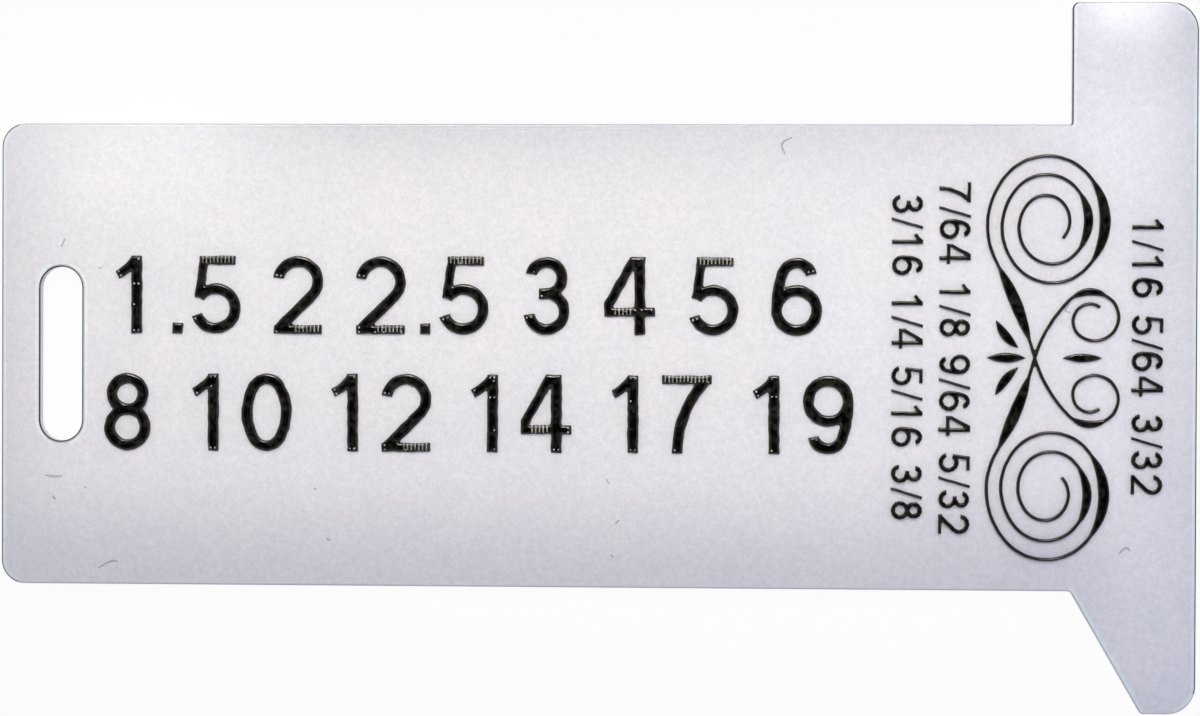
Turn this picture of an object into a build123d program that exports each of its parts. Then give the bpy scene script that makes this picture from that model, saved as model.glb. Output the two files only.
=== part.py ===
from build123d import *
from math import asin, atan2, cos, degrees, hypot, radians, sin, tan
import os

# A printed gauge card for hex keys: a flat T-headed plate, 127 mm (5 in) long, with a lanyard slot
# and raised marks in a second colour. X runs from the tail to the head, Y across the plate, and Z
# out of the marked face. The origin is in the middle of the plate's back.

# Plate
OVERALL_LENGTH = 127.0
HEAD_SPAN = 75.0
BODY_WIDTH = 49.2
HEAD_WIDTH = 13.2
THICKNESS = 1.6
WIDE_NOTCH_ANGLE = 120.0
TAIL_RADIUS = 2.5
HEAD_RADIUS = 3.0
SQUARE_ARM_RADIUS = 0.75
SLANTED_ARM_RADIUS = 0.5
SQUARE_NOTCH_RADIUS = 0.2
WIDE_NOTCH_RADIUS = 0.5
FACE_EDGE_ROUNDING = 0.25

# Lanyard slot, measured from the tail
SLOT_WIDTH = 4.5
SLOT_LENGTH = 18.6
SLOT_INSET = 6.4
SLOT_CHAMFER = 0.15

# Raised marks
MARK_RELIEF = 0.4
LARGE_CAP = 8.3
SMALL_CAP = 3.33
HAIRLINE = 0.38
SMALL_CAP_RUN = 0.5

# An oval scroll of the flourish: how far each flat side turns, in degrees
SCROLL_SIDE = 84

# The numerals' proportions, in cap heights
STEM = 0.142
BAR = 0.118
NUMERAL_WIDTH = 0.65
NUMERAL_ADVANCE = 0.735
NARROW_ADVANCE = 0.33
SMALL_TRACKING = 0.05
UPPER_BOWL = 0.2
OVAL_END = 0.19
BAR_START = 0.01
BAR_END = 0.64

# Each row: its sizes, cap height, where it starts and the way it reads
ACROSS = 0
DOWNWARD = -90
SIZE_ROWS = {
    "metric_row_upper": ("1.5 2 2.5 3 4 5 6", LARGE_CAP, (-52.0, 2.2), ACROSS),
    "metric_row_lower": ("8 10 12 14 17 19", LARGE_CAP, (-52.6, -10.3), ACROSS),
    "inch_row_inner": ("3/16 1/4 5/16 3/8", SMALL_CAP, (31.4, 17.3), DOWNWARD),
    "inch_row_middle": ("7/64 1/8 9/64 5/32", SMALL_CAP, (36.4, 18.5), DOWNWARD),
    "inch_row_outer": ("1/16 5/64 3/32", SMALL_CAP, (56.6, 15.0), DOWNWARD),
}
FLOURISH_CENTRE = (48.6, 0.0)

# Places worked out from the sizes above
TAIL_X = -OVERALL_LENGTH / 2
HEAD_X = OVERALL_LENGTH / 2
SHOULDER_X = HEAD_X - HEAD_WIDTH
BODY_Y = BODY_WIDTH / 2
HEAD_Y = HEAD_SPAN / 2
SLANT_RUN = (HEAD_Y - BODY_Y) * tan(radians(WIDE_NOTCH_ANGLE - 90))

# Middle lines of the numerals' strokes, in cap heights
MIDDLE = NUMERAL_WIDTH / 2
FOOT = STEM / 2
CROWN = 1 - STEM / 2
WAIST = CROWN - 2 * UPPER_BOWL
LOWER_BOWL = (WAIST - FOOT) / 2
BOWL = (NUMERAL_WIDTH - STEM) / 2


def gauge_plate():
    """The plate: one flat piece with a square notch, a 120 degree notch and the lanyard slot."""
    corners = {
        (TAIL_X, -BODY_Y): TAIL_RADIUS,
        (TAIL_X, BODY_Y): TAIL_RADIUS,
        (SHOULDER_X, BODY_Y): SQUARE_NOTCH_RADIUS,
        (SHOULDER_X, HEAD_Y): SQUARE_ARM_RADIUS,
        (HEAD_X, HEAD_Y): HEAD_RADIUS,
        (HEAD_X, -HEAD_Y): HEAD_RADIUS,
        (SHOULDER_X + SLANT_RUN, -HEAD_Y): SLANTED_ARM_RADIUS,
        (SHOULDER_X, -BODY_Y): WIDE_NOTCH_RADIUS,
    }
    outline = make_face(Polyline(*corners, close=True))
    for place, radius in corners.items():
        vertex = outline.vertices().sort_by_distance((*place, 0))[0]
        outline = fillet(vertex, radius)
    slot = Pos(TAIL_X + SLOT_INSET, 0) * SlotOverall(SLOT_LENGTH, SLOT_WIDTH, rotation=90)
    plate = extrude(outline - slot, THICKNESS)
    plate = fillet(plate.faces().sort_by(Axis.Z)[-1].outer_wire().edges(), FACE_EDGE_ROUNDING)
    slot_rim = plate.faces().sort_by(Axis.Z)[-1].inner_wires()[0]
    return chamfer(slot_rim.edges(), SLOT_CHAMFER)


def beside(place, heading, offset):
    """The point this far to the left of a place on a pen's path."""
    return (
        place[0] - offset * sin(radians(heading)),
        place[1] + offset * cos(radians(heading)),
    )


def pen_step(place, heading, move):
    """Where one move takes the pen. A move is (0, length) for a straight run, or (radius, degrees)
    for an arc that turns left, or right where the degrees are negative."""
    radius, amount = move
    if radius == 0:
        return beside(place, heading - 90, amount), heading
    side = radius if amount > 0 else -radius
    centre = beside(place, heading, side)
    return beside(centre, heading + amount, -side), heading + amount


def pen_stroke(place, heading, moves, width):
    """A band of even width with square ends."""
    edges = [Line(beside(place, heading, width / 2), beside(place, heading, -width / 2))]
    for radius, amount in moves:
        next_place, next_heading = pen_step(place, heading, (radius, amount))
        turn = 1 if amount > 0 else -1
        for offset in (width / 2, -width / 2):
            if radius == 0:
                edges.append(Line(beside(place, heading, offset), beside(next_place, heading, offset)))
            else:
                centre = beside(place, heading, turn * radius)
                edges.append(CenterArc(centre, radius - turn * offset, heading - turn * 90, amount))
        place, heading = next_place, next_heading
    edges.append(Line(beside(place, heading, width / 2), beside(place, heading, -width / 2)))
    return make_face(edges)


def swelling(place, heading, move, width):
    """A pointed stroke along one arc, widest half way."""
    radius, amount = move
    end = pen_step(place, heading, move)[0]
    turn = 1 if amount > 0 else -1
    bow = radius * (1 - cos(radians(amount / 2)))
    sides = [SagittaArc(place, end, -turn * (bow + half)) for half in (-width / 2, width / 2)]
    return make_face(sides)


def bar(left, right, middle):
    """A level bar of a numeral."""
    return pen_stroke((left, middle), 0, [(0, right - left)], BAR)


def stem(x, bottom, top):
    """An upright stem of a numeral."""
    return pen_stroke((x, bottom), 90, [(0, top - bottom)], STEM)


def ring(x, y, radius):
    """A round bowl of a numeral."""
    return Pos(x, y) * (Circle(radius + STEM / 2) - Circle(radius - STEM / 2))


def half_turned(outline):
    """A numeral turned upside down about its middle."""
    return Pos(MIDDLE, 0.5) * Rot(0, 0, 180) * Pos(-MIDDLE, -0.5) * outline


def on_circle(x, y, radius, angle):
    """A point at this angle on a bowl, and the heading of a pen that leaves it anticlockwise."""
    return (x + radius * cos(radians(angle)), y + radius * sin(radians(angle))), angle + 90


def within(outline, left, foot, right):
    """The part of an outline between two uprights, from a foot up to the cap line."""
    return outline & Pos(left, foot) * Rectangle(right - left, 1 - foot, align=(Align.MIN, Align.MIN))


def oval_side(half_height):
    """The radius and turn of an oval's long side, for its tight end of radius OVAL_END."""
    drop = half_height - OVAL_END
    radius = (BOWL**2 + drop**2 - OVAL_END**2) / (2 * (BOWL - OVAL_END))
    return radius, degrees(atan2(drop, radius - BOWL))


def nought():
    """An upright oval."""
    half_height = (CROWN - FOOT) / 2
    radius, turn = oval_side(half_height)
    start, heading = on_circle(MIDDLE, CROWN - OVAL_END, OVAL_END, turn)
    half = pen_stroke(start, heading, [(OVAL_END, 180 - 2 * turn), (radius, 2 * turn)], STEM)
    return half + half_turned(half)


def one():
    """An upright with a short curved flag."""
    upright_x = 0.37
    flag_top, flag_heading, flag_curve = 0.98, 238, (0.62, -32)
    flag = pen_stroke((upright_x, flag_top), flag_heading, [flag_curve], BAR)
    return stem(upright_x, 0, 1) + flag


def two():
    """A bowl that runs down a slanted neck to a level foot."""
    tip_angle, bowl_turn, neck_run = 172, 217, 0.8
    start, heading = on_circle(MIDDLE, CROWN - BOWL, BOWL, tip_angle)
    neck = pen_stroke(start, heading - 180, [(BOWL, -bowl_turn), (0, neck_run)], STEM)
    return within(neck, BAR_START, 0, 1) + bar(BAR_START, BAR_END, BAR / 2)


def three():
    """Two open bowls that meet at the waist."""
    tip_angle, upper_turn, lower_turn, waist_run = 168, 258, 262, 0.1
    start, heading = on_circle(MIDDLE, CROWN - UPPER_BOWL, UPPER_BOWL, tip_angle)
    upper = pen_stroke(start, heading - 180, [(UPPER_BOWL, -upper_turn), (0, waist_run)], STEM)
    lower = pen_stroke((MIDDLE - waist_run, WAIST), 0, [(0, waist_run), (LOWER_BOWL, -lower_turn)], STEM)
    return upper + lower


def four():
    """A slanted leg, a crossbar and an upright."""
    upright_x, crossbar_foot = 0.455, 0.235
    leg_foot, leg_slope, leg_width = (-0.06, 0.18), 61, 0.125
    leg = pen_stroke(leg_foot, leg_slope, [(0, 1.05)], leg_width)
    crossbar = bar(0, NUMERAL_WIDTH, crossbar_foot + BAR / 2)
    return stem(upright_x, 0, 1) + crossbar + within(leg, 0, crossbar_foot, upright_x)


def five():
    """A level flag, a slightly slanted back and an open bowl."""
    neck_angle, bowl_turn = 148, 310
    flag_start, flag_end, back_top_x = 0.115, 0.585, 0.175
    foot, heading = on_circle(MIDDLE, FOOT + BOWL, BOWL, neck_angle)
    bowl = pen_stroke(foot, heading - 180, [(BOWL, -bowl_turn)], STEM)
    run, rise = back_top_x - foot[0], 1 - BAR / 2 - foot[1]
    back = pen_stroke(foot, degrees(atan2(rise, run)), [(0, hypot(run, rise))], BAR)
    return bowl + back + bar(flag_start, flag_end, 1 - BAR / 2)


def six():
    """A round bowl under a back that curls over at the top."""
    tip_angle = 12
    bowl_y = FOOT + BOWL
    radius, turn = oval_side(CROWN - bowl_y)
    start, heading = on_circle(MIDDLE, CROWN - OVAL_END, OVAL_END, tip_angle)
    back = pen_stroke(start, heading, [(OVAL_END, 180 - tip_angle - turn), (radius, turn)], STEM)
    return back + ring(MIDDLE, bowl_y, BOWL)


def seven():
    """A level bar with a leg that curves down from its end."""
    foot_x, run, rise, overrun = 0.2, 0.36, 0.93, 0.2
    radius = hypot(run, rise) ** 2 / (2 * run)
    leg = pen_stroke((foot_x, 0), 90, [(radius, -degrees(asin(rise / radius))), (0, overrun)], STEM)
    return within(leg, 0, 0, BAR_END) + bar(0, BAR_END, 1 - BAR / 2)


def eight():
    """Two round bowls, the lower one larger."""
    return ring(MIDDLE, CROWN - UPPER_BOWL, UPPER_BOWL) + ring(MIDDLE, FOOT + LOWER_BOWL, LOWER_BOWL)


def nine():
    """A six turned upside down."""
    return half_turned(six())


def decimal_point():
    return stem(NARROW_ADVANCE / 2, 0, STEM)


def fraction_slash():
    foot, lean, length, width = (-0.01, -0.1), 74, 1.3, 0.1
    return pen_stroke(foot, lean, [(0, length)], width)


GLYPHS = {
    "0": nought,
    "1": one,
    "2": two,
    "3": three,
    "4": four,
    "5": five,
    "6": six,
    "7": seven,
    "8": eight,
    "9": nine,
    ".": decimal_point,
    "/": fraction_slash,
}


def drawn_in_runs(outline):
    """The outline with each arc drawn in short straight runs, as small print comes out."""

    def polygon(wire):
        points = []
        walked = 0
        for edge in wire.order_edges():
            runs = max(1, round(edge.length / SMALL_CAP_RUN)) if edge.geom_type == GeomType.CIRCLE else 1
            for run in range(runs):
                place = walked + edge.length * run / runs
                points.append(wire.position_at(place, position_mode=PositionMode.LENGTH))
            walked += edge.length
        return make_face(Polyline(*points, close=True))

    faces = []
    for face in outline.faces():
        faces.append(polygon(face.outer_wire()) - [polygon(hole) for hole in face.inner_wires()])
    return Sketch() + faces


def size_row(text, cap_height, start, angle):
    """One raised row of sizes, standing on the plate's face. Small print is spaced wider."""
    tracking = SMALL_TRACKING if cap_height == SMALL_CAP else 0
    glyphs = []
    pen_x = 0
    for character in text:
        if character in GLYPHS:
            glyphs.append(Pos(pen_x, 0) * within(GLYPHS[character](), -1, 0, 1))
        pen_x += tracking + (NUMERAL_ADVANCE if character.isdigit() else NARROW_ADVANCE)
    outline = scale(Sketch() + glyphs, cap_height)
    if cap_height == SMALL_CAP:
        outline = drawn_in_runs(outline)
    row = extrude(outline, MARK_RELIEF)
    return Pos(*start, THICKNESS) * Rot(0, 0, angle) * row


def oval_turns(radii, turning):
    """The moves of an oval scroll. Each half oval is given by the radii of its flat side and end."""
    moves = []
    for side, end in radii:
        moves += [(side, turning * SCROLL_SIDE), (end, turning * (180 - SCROLL_SIDE))]
    return moves


def shaded(place, heading, moves, number, width):
    """A swelling over one move of a stroke, where the pen is pressed."""
    for move in moves[:number]:
        place, heading = pen_step(place, heading, move)
    return swelling(place, heading, moves[number], width)


def pen_flourish():
    """A mirrored ornament: crossed strokes that run out into oval scrolls, with leaves between."""
    crossing = (-2.1, 0)
    outward, inward = 106, -74
    lead = [(52, 1.5), (52, 10.5), (8.2, -70), (5.6, -96)]
    scroll = lead + oval_turns([(7.4, 4.9), (6.3, 4.1), (5.2, 3.3), (4.0, 2.4), (2.8, 1.5)], -1)[:-1]
    tail = [(14, 29)] + oval_turns([(3.2, 2.5), (2.5, 1.9), (1.7, 1.2)], 1)[:-1]
    leaf = (60, -4)
    strokes = [
        pen_stroke(crossing, outward, scroll, HAIRLINE),
        pen_stroke(crossing, inward, tail, HAIRLINE),
        shaded(crossing, outward, scroll, 1, 1.3),
        shaded(crossing, outward, scroll, 4, 1.2),
        shaded(crossing, outward, scroll, 8, 1.0),
        shaded(crossing, inward, tail, 1, 0.85),
        swelling((-3.0, 0), 182, leaf, 1.0),
        swelling((-3.8, 1.0), 143, (8, -28), 1.0),
        swelling((0.8, 0), 2, leaf, 0.9),
    ]
    half = Sketch() + strokes
    return Pos(*FLOURISH_CENTRE, THICKNESS) * extrude(half + mirror(half, about=Plane.XZ), MARK_RELIEF)


os.makedirs("parts", exist_ok=True)
export_step(gauge_plate(), "parts/gauge_plate.step")
export_step(pen_flourish(), "parts/pen_flourish.step")
for name, row in SIZE_ROWS.items():
    export_step(size_row(*row), f"parts/{name}.step")
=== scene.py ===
from math import radians, sqrt
from random import Random

import bpy
from mathutils import Matrix, Vector, noise
from mathutils.bvhtree import BVHTree


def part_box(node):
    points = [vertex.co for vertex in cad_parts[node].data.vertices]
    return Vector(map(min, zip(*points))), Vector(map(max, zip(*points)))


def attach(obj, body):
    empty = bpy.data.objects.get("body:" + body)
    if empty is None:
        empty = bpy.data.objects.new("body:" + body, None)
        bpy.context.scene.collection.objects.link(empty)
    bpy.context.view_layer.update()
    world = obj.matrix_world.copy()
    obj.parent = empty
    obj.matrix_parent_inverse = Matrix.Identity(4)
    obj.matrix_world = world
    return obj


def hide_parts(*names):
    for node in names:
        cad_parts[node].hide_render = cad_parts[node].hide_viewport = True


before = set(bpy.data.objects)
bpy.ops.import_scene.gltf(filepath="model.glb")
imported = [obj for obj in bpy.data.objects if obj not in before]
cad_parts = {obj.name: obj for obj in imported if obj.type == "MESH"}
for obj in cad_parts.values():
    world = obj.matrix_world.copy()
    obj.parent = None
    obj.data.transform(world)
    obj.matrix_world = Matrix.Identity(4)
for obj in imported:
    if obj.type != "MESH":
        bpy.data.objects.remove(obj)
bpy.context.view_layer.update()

# The gauge card as it was printed and has worn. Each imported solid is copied, and the copy is given the
# layers and strands that the printer laid. X runs from the tail to the head, Y across the plate, and
# Z out of the marked face.
MM = 0.001

# The heights that the printed pieces share, and the height of a large numeral, from the imported solids
PLATE_LOW, PLATE_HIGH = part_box("gauge_plate")
ROW_LOW, ROW_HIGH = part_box("metric_row_upper")
FACE_Z = PLATE_HIGH.z
MARK_Z = ROW_HIGH.z
RELIEF = MARK_Z - FACE_Z
LARGE_CAP = ROW_HIGH.y - ROW_LOW.y

# What the printer lays: the width of a strand and the height of a layer
STRAND = 0.4 * MM
LAYER = 0.2 * MM

# The plate's rounded rim, the strands that show inside it, and the groove beside each: its depth and
# the width of either side. Corners of the mesh that are nearer than the last value are merged
RIM_RADIUS = 0.25 * MM
RIM_STRANDS = 2
GROOVE = 0.02 * MM
GROOVE_SIDE = 0.06 * MM
CORNER_GAP = 0.02 * MM

# Faces are told by their normals, which are 1 where they point straight that way: the least for one
# that counts as straight, and the most that a wall and the rim's edge may rise
STRAIGHT = 0.999
WALL_RISE = 0.1
EDGE_RISE = 0.88

# The least that a wall of a long straight side and one of the slanted arm face across the plate, and
# the most that two walls may face the same way where they meet squarely
STRAIGHT_SIDE = 0.95
SLANTED_ARM = 0.3
SQUARE_CORNER = 0.2

# The field round the lanyard slot: how far it reaches from the tail, and half its length
SLOT_NEAR = 5.0 * MM
SLOT_FAR = 12.5 * MM
SLOT_HALF = 10.5 * MM

# Old nicks and scratches in the face, in mm: each one's width, and the places it runs through
NICKS = [
    (0.26, (-53.1, -22.9), (-51.5, -22.15), (-50.9, -22.2)),
    (0.26, (20.85, 23.2), (19.8, 22.5), (20.1, 21.4)),
    (0.28, (55.4, -20.6), (56.2, -20.0), (56.6, -20.3)),
    (0.3, (-58.8, -13.0), (-57.9, -13.15), (-57.0, -13.1)),
    (0.42, (-58.0, -15.2), (-57.7, -15.6)),
    (0.25, (-54.6, -14.2), (-54.3, -14.35)),
    (0.3, (-56.7, 12.3), (-57.1, 11.4)),
    (0.3, (-53.1, 9.1), (-52.7, 9.25)),
    (0.22, (1.3, -13.0), (1.6, -13.6)),
    (0.32, (2.7, -17.4), (2.3, -17.8)),
    (0.32, (1.8, -21.1), (2.1, -21.4)),
    (0.34, (-29.9, -14.2), (-29.6, -14.4)),
    (0.42, (-28.5, -19.6), (-28.1, -19.8)),
    (0.2, (50.1, 5.6), (49.7, 5.0), (50.2, 4.8)),
]

# A nick's width at its ends, as a share of its full width, and its depth, as a share of half of it
NICK_TAPER = 0.6
NICK_DEPTH = 0.35

# The large numerals' strokes, in cap heights, and the shortest straight bar that is printed as a comb.
# A wall that is narrower or wider than a stroke by up to the last share still counts as its end
STEM = 0.142
BAR = 0.118
LEAST_BAR = 0.36
STROKE_SLACK = 0.1

# A large stroke is two strands side by side, each of this width, on a low upright wall
STROKE_STRAND = 0.59 * MM
STRAND_WALL = 0.12 * MM

# Every strand wanders a little to both sides, in waves of about this length
WOBBLE_LENGTH = 0.9 * MM
WOBBLE_SEED = 4

# How each kind of mark is laid: how fine its mesh is, how wide its round shoulder is, how deep the dip
# between two strands is, and how far a strand wanders
LARGE_STRANDS = {"fineness": 0.09 * MM, "rounding": 0.3 * MM, "dip": 0.02 * MM, "wobble": 0.07 * MM}
SMALL_STRANDS = {"fineness": 0.06 * MM, "rounding": 0.14 * MM, "dip": 0.0, "wobble": 0.04 * MM}
PEN_STRANDS = {"fineness": 0.07 * MM, "rounding": 0.18 * MM, "dip": 0.0, "wobble": 0.03 * MM}

# The raised marks: the node, the piece that stands for it, how its strands are laid, and the seed of
# its combs and blobs, which only the large rows have
MARKS = [
    ("metric_row_upper", "metric_print_upper", LARGE_STRANDS, "upper"),
    ("metric_row_lower", "metric_print_lower", LARGE_STRANDS, "lower"),
    ("inch_row_inner", "inch_print_inner", SMALL_STRANDS, None),
    ("inch_row_middle", "inch_print_middle", SMALL_STRANDS, None),
    ("inch_row_outer", "inch_print_outer", SMALL_STRANDS, None),
    ("pen_flourish", "flourish_print", PEN_STRANDS, None),
]

# The comb in a level bar: the share of its height that stays joined at the foot, the width of a gap
# in strands, and how far a gap leans, in degrees, each from the least to the most
JOINED_FOOT = (0.18, 0.3)
GAP_WIDTH = (0.28, 0.36)
GAP_LEAN = (-2, 2)

# The blobs in a large stroke, painted pale as their glint, in mm: how deep from its end they lie where
# its strands turn and where they pause, and what share of those places has one
TURN_DEPTH = 0.36
TURN_SHARE = 0.8
PAUSE_DEPTHS = (2.0, 3.4)
PAUSE_SHARE = 0.5

# Each blob, in mm: its distance from the stroke's middle line, its radius from the least to the most,
# and how far its middle lies under the marks' tops. Then its height as a share of its width, and the
# ink that it needs to either side, as a share of its depth in the stroke
BLOB_SIDE = 0.23
BLOB_RADII = (0.08, 0.12)
BLOB_SINK = 0.03
BLOB_HEIGHT = 0.6
BLOB_MARGIN = 1 / 8

# The camera, found from the corners of the plate in the photograph
CAMERA_PLACE = Vector((22.68, 4.92, 400.0)) * MM
CAMERA_TURN = (-0.725, 3.174, 0.215)
SENSOR_WIDTH = 36.0
LENS = 112.87

# The floor: its side in metres, its gap under the plate, and how far the camera sees it as plain white,
# which leaves it a faint shadow
FLOOR_SIDE = 6.0
FLOOR_GAP = 0.02 * MM
FLOOR_WHITE = 0.94

# The room, in heights from 0 at the horizon to 1 overhead: where the walls' white foot fades out, and
# where they fade into the dark ceiling
WALL_FADE = (0.1, 0.3)
CEILING_FADE = (0.85, 0.96)


def work_on(piece):
    """Makes one object the only selected and active one, out of edit mode."""
    if bpy.context.object and bpy.context.object.mode != "OBJECT":
        bpy.ops.object.mode_set(mode="OBJECT")
    bpy.ops.object.select_all(action="DESELECT")
    piece.select_set(True)
    bpy.context.view_layer.objects.active = piece


def pick_faces(piece, wanted):
    """Goes into edit mode with only the faces selected that pass the test."""
    work_on(piece)
    bpy.ops.object.mode_set(mode="EDIT")
    bpy.ops.mesh.select_mode(type="FACE")
    bpy.ops.mesh.select_all(action="DESELECT")
    bpy.ops.object.mode_set(mode="OBJECT")
    for face in piece.data.polygons:
        face.select = wanted(face)
    bpy.ops.object.mode_set(mode="EDIT")


def stop_editing():
    bpy.ops.object.mode_set(mode="OBJECT")


def copied_from(node, name):
    """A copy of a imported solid, with its triangles merged back into whole flat faces."""
    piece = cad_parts[node].copy()
    piece.data = piece.data.copy()
    piece.name = name
    piece.data.name = name
    for key in list(piece.keys()):
        del piece[key]
    piece.parent = None
    bpy.context.scene.collection.objects.link(piece)
    piece.data.materials.clear()
    pick_faces(piece, lambda face: True)
    bpy.ops.mesh.remove_doubles(threshold=0.001 * MM)
    bpy.ops.mesh.dissolve_limited(angle_limit=radians(0.5))
    stop_editing()
    return piece


def cut_away(piece, cutter):
    """Takes the cutter out of the piece, and removes the cutter."""
    work_on(piece)
    modifier = piece.modifiers.new("cut", "BOOLEAN")
    modifier.operation = "DIFFERENCE"
    modifier.solver = "EXACT"
    modifier.material_mode = "TRANSFER"
    modifier.object = cutter
    bpy.ops.object.modifier_apply(modifier="cut")
    bpy.data.objects.remove(cutter)


def joined(pieces, name):
    """Several objects made one."""
    bpy.ops.object.select_all(action="DESELECT")
    for piece in pieces:
        piece.select_set(True)
    bpy.context.view_layer.objects.active = pieces[0]
    bpy.ops.object.join()
    pieces[0].name = name
    return pieces[0]


def is_top(face):
    return face.normal.z > STRAIGHT


def is_underside(face):
    return face.normal.z < -0.99


def walls_of(piece):
    """The upright faces of a piece."""
    return [face for face in piece.data.polygons if abs(face.normal.z) < WALL_RISE]


def wall_tree(piece):
    """A search tree of the piece's walls, for the distance from any point to the nearest one."""
    places = [vertex.co.copy() for vertex in piece.data.vertices]
    return BVHTree.FromPolygons(places, [list(face.vertices) for face in walls_of(piece)])


def add_camera():
    bpy.ops.object.camera_add(location=CAMERA_PLACE, rotation=[radians(turn) for turn in CAMERA_TURN])
    camera = bpy.context.object
    camera.name = "camera"
    camera.data.sensor_fit = "HORIZONTAL"
    camera.data.sensor_width = SENSOR_WIDTH
    camera.data.lens = LENS
    camera.data.clip_start = 10 * MM
    camera.data.clip_end = 20.0
    bpy.context.scene.camera = camera


def srgb(hex_colour):
    """An sRGB hex colour as linear red, green, blue and alpha."""
    channels = [int(hex_colour[i : i + 2], 16) / 255 for i in (1, 3, 5)]
    linear = [c / 12.92 if c <= 0.04045 else ((c + 0.055) / 1.055) ** 2.4 for c in channels]
    return (*linear, 1.0)


def add_node(tree, kind, inputs=None, **settings):
    """Adds a shader node. Each input is a value, or an output of an earlier node to link."""
    node = tree.nodes.new("ShaderNode" + kind)
    for name, value in settings.items():
        setattr(node, name, value)
    for name, value in (inputs or {}).items():
        if isinstance(value, bpy.types.NodeSocket):
            tree.links.new(value, node.inputs[name])
        else:
            node.inputs[name].default_value = value
    return node


def new_material(name):
    material = bpy.data.materials.new(name)
    material.use_nodes = True
    material.node_tree.nodes.clear()
    return material, material.node_tree


def satin_white_pla(name, cool, warm, roughness, grain_height):
    """Printed white PLA. The eye sees a cool satin white with a fine sandy grain and faint clouds."""
    material, tree = new_material(name)
    place = add_node(tree, "TexCoord").outputs["Object"]
    grain_size, cloud_size = 0.6 * MM, 5.0 * MM
    grain = add_node(
        tree,
        "TexNoise",
        {"Vector": place, "Scale": 1 / grain_size, "Detail": 3.0, "Roughness": 1.0},
    )
    cloud = add_node(tree, "TexNoise", {"Vector": place, "Scale": 1 / cloud_size, "Detail": 4.0})
    clouds = add_node(
        tree,
        "Mix",
        {"Factor": cloud.outputs["Fac"], "A": srgb(cool), "B": srgb(warm)},
        data_type="RGBA",
    )
    speck = add_node(
        tree,
        "MapRange",
        {"Value": grain.outputs["Fac"], "From Min": 0.3, "From Max": 0.7, "To Min": 0.84, "To Max": 1.0},
    )
    colour = add_node(
        tree,
        "Mix",
        {"Factor": 1.0, "A": clouds.outputs["Result"], "B": speck.outputs["Result"]},
        data_type="RGBA",
        blend_type="MULTIPLY",
    )
    rough = add_node(
        tree,
        "MapRange",
        {"Value": grain.outputs["Fac"], "To Min": roughness - 0.08, "To Max": roughness + 0.08},
    )
    bump = add_node(
        tree,
        "Bump",
        {"Height": grain.outputs["Fac"], "Distance": grain_height, "Strength": 1.0},
    )
    shader = add_node(
        tree,
        "BsdfPrincipled",
        {
            "Base Color": colour.outputs["Result"],
            "Roughness": rough.outputs["Result"],
            "Normal": bump.outputs["Normal"],
            "IOR": 1.46,
        },
    )
    add_node(tree, "OutputMaterial", {"Surface": shader.outputs["BSDF"]})
    return material


def dull_pla(name, tint):
    """A flat, dull grey PLA for painted colour: the shade along the plate's edges and round the slot,
    the glint on the marks' blobs, and the darker grey of the nicks.
    """
    material, tree = new_material(name)
    shader = add_node(tree, "BsdfPrincipled", {"Base Color": srgb(tint), "Roughness": 0.6})
    add_node(tree, "OutputMaterial", {"Surface": shader.outputs["BSDF"]})
    return material


def glossy_black_pla():
    """Printed black PLA, laid in hot rounded strands. The eye sees deep warm black and wet glints; the
    mottle of olive grey in its colour is painted sheen."""
    material, tree = new_material("glossy_black_pla")
    place = add_node(tree, "TexCoord").outputs["Object"]
    ripple_size = 0.6 * MM
    ripple = add_node(tree, "TexNoise", {"Vector": place, "Scale": 1 / ripple_size, "Detail": 3.0})
    # Painted sheen: random patches of the colour turn from deep black to olive grey
    painted_sheen = add_node(
        tree,
        "MapRange",
        {"Value": ripple.outputs["Fac"], "From Min": 0.46, "From Max": 0.72},
    )
    deep, pale = srgb("#030202"), srgb("#26241E")
    colour = add_node(
        tree,
        "Mix",
        {"Factor": painted_sheen.outputs["Result"], "A": deep, "B": pale},
        data_type="RGBA",
    )
    rough = add_node(
        tree,
        "MapRange",
        {"Value": ripple.outputs["Fac"], "To Min": 0.08, "To Max": 0.24},
    )
    bump = add_node(tree, "Bump", {"Height": ripple.outputs["Fac"], "Distance": 0.014 * MM})
    shader = add_node(
        tree,
        "BsdfPrincipled",
        {
            "Base Color": colour.outputs["Result"],
            "Roughness": rough.outputs["Result"],
            "Normal": bump.outputs["Normal"],
            "IOR": 1.52,
        },
    )
    add_node(tree, "OutputMaterial", {"Surface": shader.outputs["BSDF"]})
    return material


def cut_layer_lines(plate):
    """Rounds each printed layer of the plate's wall, by drawing the line between layers inwards."""
    layers = int((FACE_Z - RIM_RADIUS) / LAYER)
    for half_layer in range(1, 2 * layers + 1):
        pick_faces(plate, lambda face: True)
        bpy.ops.mesh.bisect(plane_co=(0, 0, half_layer * LAYER / 2), plane_no=(0, 0, 1))
        if half_layer % 2 == 0:
            bpy.ops.transform.shrink_fatten(value=-GROOVE)
    stop_editing()


def draw_perimeter_lines(plate):
    """Draws the grooves between the strands that run round the face just inside the rim."""
    pick_faces(plate, lambda face: is_top(face) and face.center.z > FACE_Z - GROOVE)
    for _ in range(RIM_STRANDS):
        bpy.ops.mesh.inset(thickness=STRAND / 2 - GROOVE_SIDE, use_even_offset=True)
        bpy.ops.mesh.remove_doubles(threshold=CORNER_GAP)
        for depth in (-GROOVE, GROOVE):
            bpy.ops.mesh.inset(thickness=GROOVE_SIDE, use_even_offset=True)
            bpy.ops.mesh.remove_doubles(threshold=CORNER_GAP)
            bpy.ops.transform.translate(value=(0, 0, depth))
    bpy.ops.mesh.inset(thickness=STRAND, use_even_offset=True)
    stop_editing()


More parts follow.
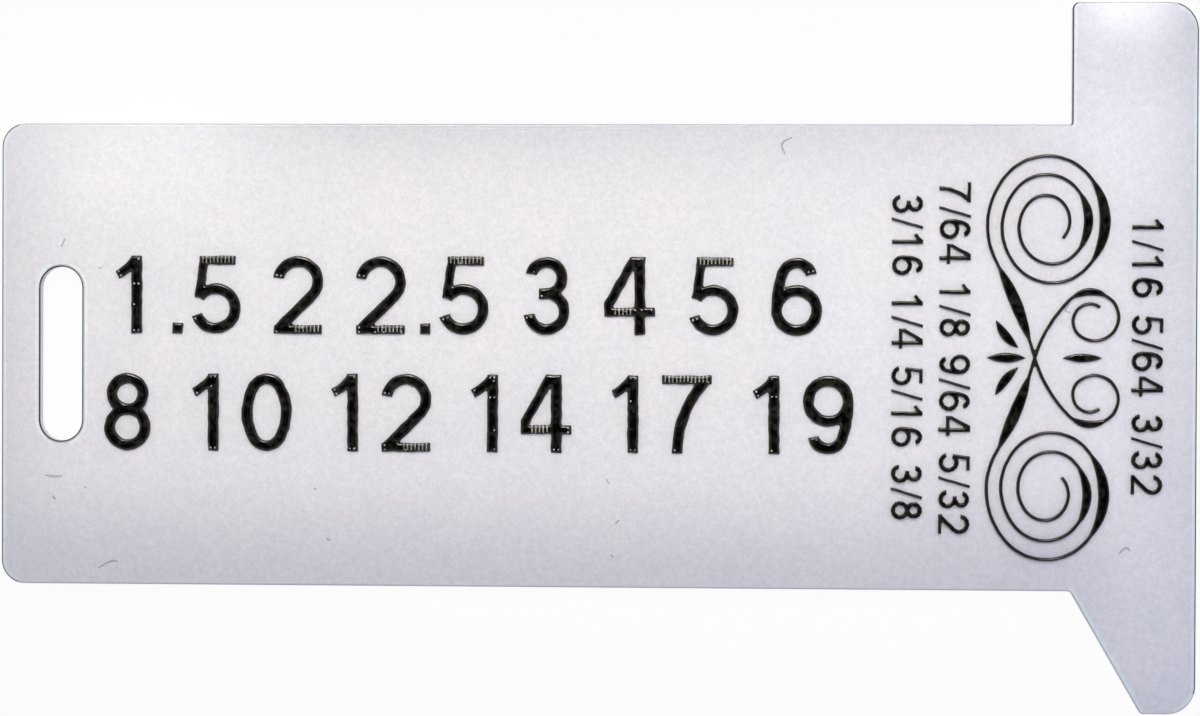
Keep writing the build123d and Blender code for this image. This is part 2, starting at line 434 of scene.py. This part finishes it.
def nick_cutter(width, places, nick_grey):
    """What one nick is cut with: a rounded bar along its places, flattened and thinner at its ends."""
    curve = bpy.data.curves.new("groove", "CURVE")
    curve.dimensions = "3D"
    curve.bevel_depth = width / 2 * MM
    curve.bevel_resolution = 2
    curve.resolution_u = 5
    curve.use_fill_caps = True
    spline = curve.splines.new("BEZIER")
    spline.bezier_points.add(len(places) - 1)
    for point, place in zip(spline.bezier_points, places):
        point.co = Vector((*place, 0)) * MM
        point.handle_left_type = point.handle_right_type = "AUTO"
    for point in (spline.bezier_points[0], spline.bezier_points[-1]):
        point.radius = NICK_TAPER
    cutter = bpy.data.objects.new("groove", curve)
    cutter.location.z = FACE_Z
    cutter.scale.z = NICK_DEPTH
    bpy.context.scene.collection.objects.link(cutter)
    work_on(cutter)
    bpy.ops.object.convert(target="MESH")
    cutter.data.materials.append(nick_grey)
    return cutter


def nick_the_face(plate, nick_grey):
    """Presses the old nicks and scratches into the face, each a shallow groove painted a darker grey."""
    cutters = [nick_cutter(width, places, nick_grey) for width, *places in NICKS]
    cut_away(plate, joined(cutters, "grooves"))


def is_by_the_slot(face):
    from_tail = face.center.x - PLATE_LOW.x
    return SLOT_NEAR < from_tail < SLOT_FAR and abs(face.center.y) < SLOT_HALF


def tint_the_rim(plate, rim_strand_highlight, slot_shade, edge_shade, pale_shade):
    """Gives the strand nearest each edge a lighter white, apart from the long straight sides: partly its
    own sheen, partly a painted highlight. The edge itself gets a grey line of painted shade. The line is
    darkest round the slot. It is palest along the straight sides and the slanted arm, and the slot's
    dark line has such a pale one beside it."""
    walls = wall_tree(plate)
    for material in (rim_strand_highlight, slot_shade, edge_shade, pale_shade):
        plate.data.materials.append(material)
    for face in plate.data.polygons:
        if face.normal.z < WALL_RISE or face.center.z < FACE_Z - RIM_RADIUS:
            continue
        level = Vector((face.center.x, face.center.y, FACE_Z / 2))
        outward, _, distance = walls.find_nearest(level)[1:]
        straight_side = abs(outward.y) > STRAIGHT_SIDE
        slanted_arm = face.center.x > 0 and outward.y < -SLANTED_ARM
        is_edge = face.normal.z < EDGE_RISE
        tint = None
        if is_edge and is_by_the_slot(face):
            tint = slot_shade
        elif is_edge:
            tint = pale_shade if straight_side or slanted_arm else edge_shade
        elif is_by_the_slot(face) and distance < RIM_RADIUS:
            tint = pale_shade
        elif distance < RIM_RADIUS + STRAND / 2 and not straight_side:
            tint = rim_strand_highlight
        if tint:
            face.material_index = plate.data.materials.find(tint.name)


def printed_plate():
    """The white plate, with its layer lines, the strands round its rim and its old nicks."""
    plate = copied_from("gauge_plate", "plate")
    cut_layer_lines(plate)
    draw_perimeter_lines(plate)
    face_white = satin_white_pla("satin_white_pla", "#DFE0E5", "#EAE5E7", 0.42, 0.02 * MM)
    # The rim strand's lighter bluish white is partly its own sheen and partly a painted highlight of the
    # rounded edge
    rim_strand_highlight = satin_white_pla("satin_white_rim_highlight", "#E8EFF1", "#ECEFF0", 0.36, 0.01 * MM)
    # Painted shade on the rim's edge: darkest round the slot, grey elsewhere, pale grey along the
    # straight sides and the slanted arm
    slot_shade = dull_pla("slot_shade_pla", "#161517")
    edge_shade = dull_pla("edge_shade_pla", "#2D2C2F")
    pale_shade = dull_pla("pale_edge_shade_pla", "#BDBBBF")
    plate.data.materials.append(face_white)
    tint_the_rim(plate, rim_strand_highlight, slot_shade, edge_shade, pale_shade)
    nick_the_face(plate, dull_pla("nick_grey_pla", "#B2AFB3"))
    work_on(plate)
    bpy.ops.object.shade_smooth_by_angle(angle=radians(35))
    for face in plate.data.polygons:
        face.use_smooth = face.use_smooth and not is_top(face)
    return plate


def strand_height(distance, rounding, dip):
    """How high a mark stands this far from its wall: a round shoulder, then a dip between strands."""
    near = min(distance / rounding, 1.0)
    shoulder = sqrt(1 - (1 - near) ** 2)
    side_by_side = abs(2 * ((distance / STROKE_STRAND) % 1.0) - 1)
    valley = dip * side_by_side**3 if distance > STROKE_STRAND / 2 else 0.0
    return STRAND_WALL + (RELIEF - STRAND_WALL - valley) * shoulder


def round_strands(piece, fineness, rounding, dip, wobble):
    """Gives flat-topped marks the round back and the slight wobble of laid strands. The mesh is made
    even and fine first, because the marks' crossings and points leave no room to bevel. It is in
    millimetres while that is done."""
    walls = wall_tree(piece)
    piece.data.transform(Matrix.Scale(1 / MM, 4))
    work_on(piece)
    modifier = piece.modifiers.new("even", "REMESH")
    modifier.mode = "VOXEL"
    modifier.voxel_size = fineness / MM
    bpy.ops.object.modifier_apply(modifier="even")
    piece.data.transform(Matrix.Scale(MM, 4))
    noise.seed_set(WOBBLE_SEED)
    for vertex in piece.data.vertices:
        share = (vertex.co.z - FACE_Z) / RELIEF
        if share > 0:
            level = Vector((vertex.co.x, vertex.co.y, FACE_Z + RELIEF / 2))
            distance = walls.find_nearest(level)[3]
            vertex.co.z = FACE_Z + share * strand_height(distance, rounding, dip)
        shift = noise.noise_vector(Vector((vertex.co.x, vertex.co.y, 0)) / WOBBLE_LENGTH)
        vertex.co.xy += wobble * shift.xy
    pick_faces(piece, is_underside)
    bpy.ops.mesh.dissolve_limited(angle_limit=radians(1.0))
    stop_editing()


def are_one_bar(wall, bar):
    """Whether two long walls belong to the same level bar."""
    level = abs(wall[2] - bar[2]) < STRAND
    return level and wall[0] < bar[1] and bar[0] < wall[1]


def level_bars(piece):
    """The straight level bars of the large numerals, each as its left, right, foot and top."""
    height = BAR * LARGE_CAP
    long_walls = []
    for face in walls_of(piece):
        across = [piece.data.vertices[corner].co.x for corner in face.vertices]
        if abs(face.normal.y) > STRAIGHT and max(across) - min(across) > LEAST_BAR * LARGE_CAP:
            foot = face.center.y - (height if face.normal.y > 0 else 0)
            long_walls.append((min(across), max(across), foot, foot + height))
    long_walls.sort(key=lambda wall: wall[0] - wall[1])
    bars = []
    for wall in long_walls:
        if not any(are_one_bar(wall, bar) for bar in bars):
            bars.append(wall)
    return bars


def turns_back(face, beside):
    """Whether the wall beside this one runs back from it, squarely."""
    behind = (beside.center - face.center).dot(face.normal) < 0
    return behind and abs(beside.normal.dot(face.normal)) < SQUARE_CORNER


def stroke_ends(piece):
    """The square ends of the large strokes, each as the middle of its wall and its outward normal.
    Walls close together belong to a point, which has no strokes."""
    walls = walls_of(piece)
    sharing = {}
    for face in walls:
        for edge in face.edge_keys:
            sharing.setdefault(edge, []).append(face)
    least = (1 - STROKE_SLACK) * BAR * LARGE_CAP
    most = (1 + STROKE_SLACK) * STEM * LARGE_CAP
    ends = []
    for face in walls:
        upright = [edge for edge in face.edge_keys if len(sharing[edge]) == 2]
        if len(upright) != 2:
            continue
        left, right = (piece.data.vertices[edge[0]].co.xy for edge in upright)
        beside = [wall for edge in upright for wall in sharing[edge] if wall.index != face.index]
        if least < (left - right).length < most and all(turns_back(face, wall) for wall in beside):
            ends.append((face.center.copy(), face.normal.copy()))
    near = (1 - STROKE_SLACK) * STEM * LARGE_CAP
    return [end for end in ends if sum((end[0] - other[0]).length < near for other in ends) == 1]


def ink_test(piece):
    """A test of whether the marks cover a place."""
    top = BVHTree.FromObject(piece, bpy.context.evaluated_depsgraph_get())

    def inked(x, y):
        return top.ray_cast(Vector((x, y, MARK_Z + RELIEF)), Vector((0, 0, -1)))[0] is not None

    return inked


def comb_the_bars(piece, bars, chance):
    """Cuts the gaps between the short upright strands that fill a level bar, joined at its foot. There
    is no gap where a stroke stands on the bar, or where the ink has ended."""
    inked = ink_test(piece)
    gaps = []
    for left, right, foot, crown in bars:
        for number in range(1, round((right - left) / STRAND)):
            x = left + number * STRAND
            joined_foot = foot + (crown - foot) * chance.uniform(*JOINED_FOOT)
            width = STRAND * chance.uniform(*GAP_WIDTH)
            lean = radians(chance.uniform(*GAP_LEAN))
            above = crown + STRAND / 2
            stands_clear = not (inked(x - width, above) or inked(x + width, above))
            if not (stands_clear and inked(x, (foot + crown) / 2)):
                continue
            length = crown - joined_foot + STRAND / 4
            place = (x, joined_foot + length / 2, MARK_Z)
            bpy.ops.mesh.primitive_cube_add(size=1, location=place, rotation=(0, 0, lean))
            gap = bpy.context.object
            gap.scale = (width, length, 2 * RELIEF)
            gaps.append(gap)
    if gaps:
        cut_away(piece, joined(gaps, "gaps"))


def pale_blob(x, y, radius, painted_glint_grey):
    """One small flattened ball, sunk part way into the marks' tops, painted pale grey as its glint."""
    place = (x, y, MARK_Z - BLOB_SINK * MM)
    bpy.ops.mesh.primitive_uv_sphere_add(segments=16, ring_count=10, radius=radius, location=place)
    blob = bpy.context.object
    blob.scale.z = BLOB_HEIGHT
    blob.data.materials.append(painted_glint_grey)
    return blob


def add_blobs(piece, ends, painted_glint_grey, chance):
    """Adds the small blobs left where the two strands of a stroke turn back at its end, and the few
    where a strand pauses on an upright stem. Their pale grey is a painted glint."""
    inked = ink_test(piece)
    blobs = []
    for centre, outward in ends:
        along = Vector((-outward.y, outward.x, 0))
        pause_depth = chance.uniform(*PAUSE_DEPTHS)
        for depth, share in ((TURN_DEPTH, TURN_SHARE), (pause_depth, PAUSE_SHARE)):
            for side in (-1, 1):
                place = centre - outward * (depth * MM) + along * side * BLOB_SIDE * MM
                margin = depth * MM * BLOB_MARGIN
                left_out = chance.random() > share
                radius = chance.uniform(*BLOB_RADII) * MM
                in_ink = inked(place.x - margin, place.y) and inked(place.x + margin, place.y)
                if in_ink and not left_out:
                    blobs.append(pale_blob(place.x, place.y, radius, painted_glint_grey))
    return joined([piece] + blobs, piece.name)


def printed_marks(node, name, strands, seed, black, painted_glint_grey):
    """One group of raised black marks, as rounded strands. One with a seed has combs and blobs."""
    marks = copied_from(node, name)
    bars, ends = level_bars(marks), stroke_ends(marks)
    round_strands(marks, **strands)
    marks.data.materials.append(black)
    if seed:
        chance = Random(seed)
        comb_the_bars(marks, bars, chance)
        marks = add_blobs(marks, ends, painted_glint_grey, chance)
    work_on(marks)
    bpy.ops.object.shade_smooth_by_angle(angle=radians(60))
    return marks


def add_floor():
    """A plain white floor that keeps the object's shadow."""
    bpy.ops.mesh.primitive_plane_add(size=FLOOR_SIDE, location=(0, 0, PLATE_LOW.z - FLOOR_GAP))
    floor = bpy.context.object
    floor.name = "floor"
    material, tree = new_material("white_floor")
    path = add_node(tree, "LightPath")
    seen = path.outputs["Is Camera Ray"]
    for ray in ("Is Glossy Ray", "Is Transmission Ray"):
        either = add_node(tree, "Math", {0: seen, 1: path.outputs[ray]}, operation="MAXIMUM")
        seen = either.outputs["Value"]
    paint = add_node(tree, "BsdfDiffuse", {"Color": srgb("#E4E4E6")})
    glow = add_node(tree, "Emission", {"Color": srgb("#FFFFFF"), "Strength": 1.0})
    share = add_node(tree, "Math", {0: seen, 1: FLOOR_WHITE}, operation="MULTIPLY")
    mixed = add_node(
        tree,
        "MixShader",
        {0: share.outputs["Value"], 1: paint.outputs["BSDF"], 2: glow.outputs["Emission"]},
    )
    add_node(tree, "OutputMaterial", {"Surface": mixed.outputs["Shader"]})
    floor.data.materials.append(material)


def add_world():
    """Pale walls all round, white at the foot, under a ceiling that is darker right overhead."""
    world = bpy.data.worlds.new("room")
    bpy.context.scene.world = world
    world.use_nodes = True
    tree = world.node_tree
    tree.nodes.clear()
    direction = add_node(tree, "TexCoord").outputs["Generated"]
    height = add_node(tree, "SeparateXYZ", {"Vector": direction}).outputs["Z"]
    up = add_node(
        tree,
        "MapRange",
        {"Value": height, "From Min": WALL_FADE[0], "From Max": WALL_FADE[1]},
    )
    walls = add_node(
        tree,
        "Mix",
        {"Factor": up.outputs["Result"], "A": srgb("#FFFFFF"), "B": srgb("#D6D7DF")},
        data_type="RGBA",
    )
    overhead = add_node(
        tree,
        "MapRange",
        {"Value": height, "From Min": CEILING_FADE[0], "From Max": CEILING_FADE[1]},
    )
    room = add_node(
        tree,
        "Mix",
        {"Factor": overhead.outputs["Result"], "A": walls.outputs["Result"], "B": srgb("#16171C")},
        data_type="RGBA",
    )
    sky = add_node(tree, "Background", {"Color": room.outputs["Result"], "Strength": 1.0})
    add_node(tree, "OutputWorld", {"Surface": sky.outputs["Background"]})


def add_lamp(name, place, aim, size, power, colour, spread=180, lights_matt=True, glints=True):
    """A soft oblong lamp at a place in mm, turned to face its aim. Its power is in watts, and its light
    fans out by the spread in degrees. It can leave out its light on matt surfaces, or its glint on
    glossy ones."""
    bpy.ops.object.light_add(type="AREA", location=Vector(place) * MM)
    lamp = bpy.context.object
    lamp.name = name
    lamp.data.shape = "RECTANGLE"
    lamp.data.size = size[0] * MM
    lamp.data.size_y = size[1] * MM
    lamp.data.energy = power
    lamp.data.color = srgb(colour)[:3]
    lamp.data.spread = radians(spread)
    lamp.visible_camera = False
    lamp.visible_diffuse = lights_matt
    lamp.visible_glossy = glints
    turn = (Vector(aim) - Vector(place)).to_track_quat("-Z", "Y")
    lamp.rotation_euler = turn.to_euler()


bpy.context.scene.view_settings.view_transform = "Standard"
add_camera()
add_world()

# The window lights a level band across the face, and the marks mirror it
add_lamp("window", (-1, 150, 220), (-3, 7, 0), (150, 18), 0.0127, "#FFF9E4", spread=22)

# Two lamps straight above even out the body and the head
add_lamp("shop_light", (-2, 3, 60), (-2, 3, 0), (120, 41), 0.0028, "#FFFAEC", spread=15, glints=False)
add_lamp("bench_light", (59, -4, 60), (59, -4, 0), (12, 66), 0.00026, "#FFFDF6", spread=14, glints=False)

# Two bulbs brighten the body's corner at the tail, and the head beside the square notch
add_lamp("left_bulb", (-50, 62, 90), (-50, 26, 0), (24, 8), 0.0003, "#FBFFF4", spread=16)
add_lamp("right_bulb", (54, 66, 90), (54, 30, 0), (12, 12), 0.0002, "#FFFFFF", spread=16)

# Bluish daylight from both ends cools the white
add_lamp("doorway", (180, -20, 120), (60, -10, 0), (60, 160), 0.053, "#6A90FF", glints=False)
add_lamp("far_door", (-180, -10, 120), (-62, -8, 0), (60, 160), 0.014, "#5C96FF", glints=False)

# The end of the arm past the square notch is nearly burnt out in the photograph
add_lamp("reading_lamp", (57, 55, 60), (56, 38, 0), (8, 3), 0.0001, "#FFFFFF", spread=12)

# A wide sheet of light that only glossy surfaces mirror
add_lamp(
    "window_glints",
    (0, 300, 230),
    (0, 0, 0),
    (300, 150),
    0.13,
    "#FFFFFF",
    spread=70,
    lights_matt=False,
)
add_floor()

plate = printed_plate()
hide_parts("gauge_plate")
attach(plate, "root")

black = glossy_black_pla()
# Painted glint: the blobs' pale grey stands in for the highlight on them
painted_glint_grey = dull_pla("painted_glint_pla", "#A9A79E")
for node, name, strands, seed in MARKS:
    marks = printed_marks(node, name, strands, seed, black, painted_glint_grey)
    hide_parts(node)
    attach(marks, "root")
